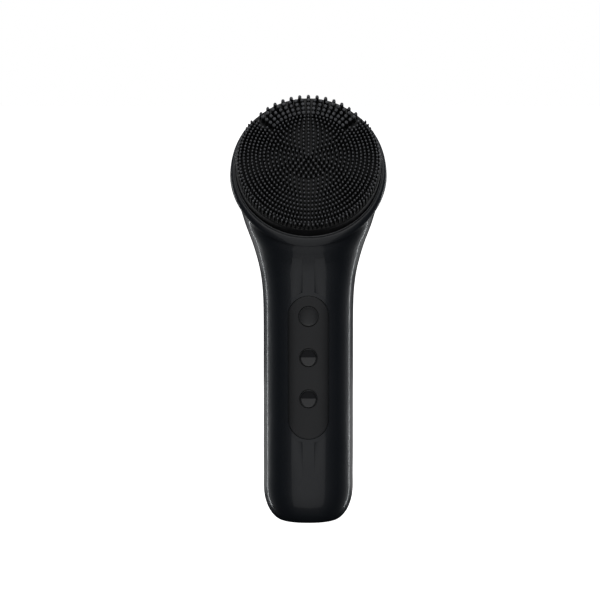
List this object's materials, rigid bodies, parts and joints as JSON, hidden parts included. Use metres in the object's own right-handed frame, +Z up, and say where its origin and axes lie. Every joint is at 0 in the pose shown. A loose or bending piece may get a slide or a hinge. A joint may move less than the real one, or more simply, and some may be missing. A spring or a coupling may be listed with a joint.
{
  "type": "facial cleansing brush",
  "caption": "Handheld facial cleansing brush: straight glossy grip with push buttons, concave neck and a round tilted head with a domed silicone bristle disc.",
  "frame": {"origin": "middle of the flat base that the grip stands on", "axes": "+Z up the grip, -Y towards the front with the buttons and the brush face, +X to the right of someone looking along +Y at the front"},
  "size_m": [0.0624, 0.0442, 0.1714],
  "materials": {
    "gloss_shell": "polished",
    "trim_black": "polished",
    "panel_black": "polished",
    "button_black": "satin",
    "silicone_black": "matt",
    "bristle_black": "matt",
    "seal_rubber": "matt",
    "inner_plastic": "matt",
    "board_green": "solder mask",
    "chip_black": "matt",
    "switch_black": "matt",
    "connector_white": "matt",
    "screw_steel": "zinc plated",
    "cell_wrap": "shrink wrap over the can",
    "motor_steel": "plated",
    "bush_brass": "machined",
    "lead_red": "matt",
    "contact_gold": "gold plated"
  },
  "bodies": {
    "handle": {"front_casing": "gloss_shell", "rear_casing": "gloss_shell", "casing_seal": "seal_rubber", "trim_ring": "trim_black", "control_panel": "panel_black", "switch_bodies": "switch_black", "main_circuit_board": "board_green", "board_screws": "screw_steel", "controller_chip": "chip_black", "battery_connector": "connector_white", "inner_chassis": "inner_plastic", "chassis_screws": "screw_steel", "battery_cell": "cell_wrap", "head_deck": "inner_plastic", "deck_seal": "seal_rubber", "deck_screws": "screw_steel", "motor_bracket": "inner_plastic", "motor_can": "motor_steel", "motor_end_cap": "switch_black", "motor_bush": "bush_brass", "motor_leads": "lead_red", "contact_holder": "trim_black", "charging_pins": "contact_gold", "charging_magnets": "screw_steel"},
    "brush_head": {"brush_pad": "silicone_black", "brush_carrier": "inner_plastic", "bristle_field": "bristle_black"},
    "rotor": {"motor_shaft": "motor_steel", "motor_armature": "motor_steel", "eccentric_weight": "motor_steel"},
    "power_key": {"power_button": "button_black"},
    "power_plunger": {"power_switch_plunger": "switch_black"},
    "speed_up_key": {"speed_up_button": "button_black"},
    "speed_up_plunger": {"speed_up_switch_plunger": "switch_black"},
    "speed_down_key": {"speed_down_button": "button_black"},
    "speed_down_plunger": {"speed_down_switch_plunger": "switch_black"}
  },
  "joints": [
    {"name": "brush_head_pull", "type": "slide", "parent": "handle", "child": "brush_head", "axis": [0, -0.891, 0.454], "range_m": [0, 0.004]},
    {"name": "rotor_spin", "type": "hinge", "parent": "handle", "child": "rotor", "pos_m": [0, 0.00051, 0.12339], "axis": [0, 0.454, 0.891], "continuous": true},
    {"name": "power_press", "type": "slide", "parent": "handle", "child": "power_key", "axis": [0, 1, 0], "range_m": [0, 0.0005], "stiffness_N_per_m": 2000},
    {"name": "power_plunger_slide", "type": "slide", "parent": "handle", "child": "power_plunger", "axis": [0, 1, 0], "range_m": [0, 0.0005]},
    {"name": "speed_up_press", "type": "slide", "parent": "handle", "child": "speed_up_key", "axis": [0, 1, 0], "range_m": [0, 0.0005], "stiffness_N_per_m": 2000},
    {"name": "speed_up_plunger_slide", "type": "slide", "parent": "handle", "child": "speed_up_plunger", "axis": [0, 1, 0], "range_m": [0, 0.0005]},
    {"name": "speed_down_press", "type": "slide", "parent": "handle", "child": "speed_down_key", "axis": [0, 1, 0], "range_m": [0, 0.0005], "stiffness_N_per_m": 2000},
    {"name": "speed_down_plunger_slide", "type": "slide", "parent": "handle", "child": "speed_down_plunger", "axis": [0, 1, 0], "range_m": [0, 0.0005]}
  ],
  "couplings": [
    {"joint": "power_plunger_slide", "follows": "power_press", "ratio": 1},
    {"joint": "speed_up_plunger_slide", "follows": "speed_up_press", "ratio": 1},
    {"joint": "speed_down_plunger_slide", "follows": "speed_down_press", "ratio": 1}
  ]
}
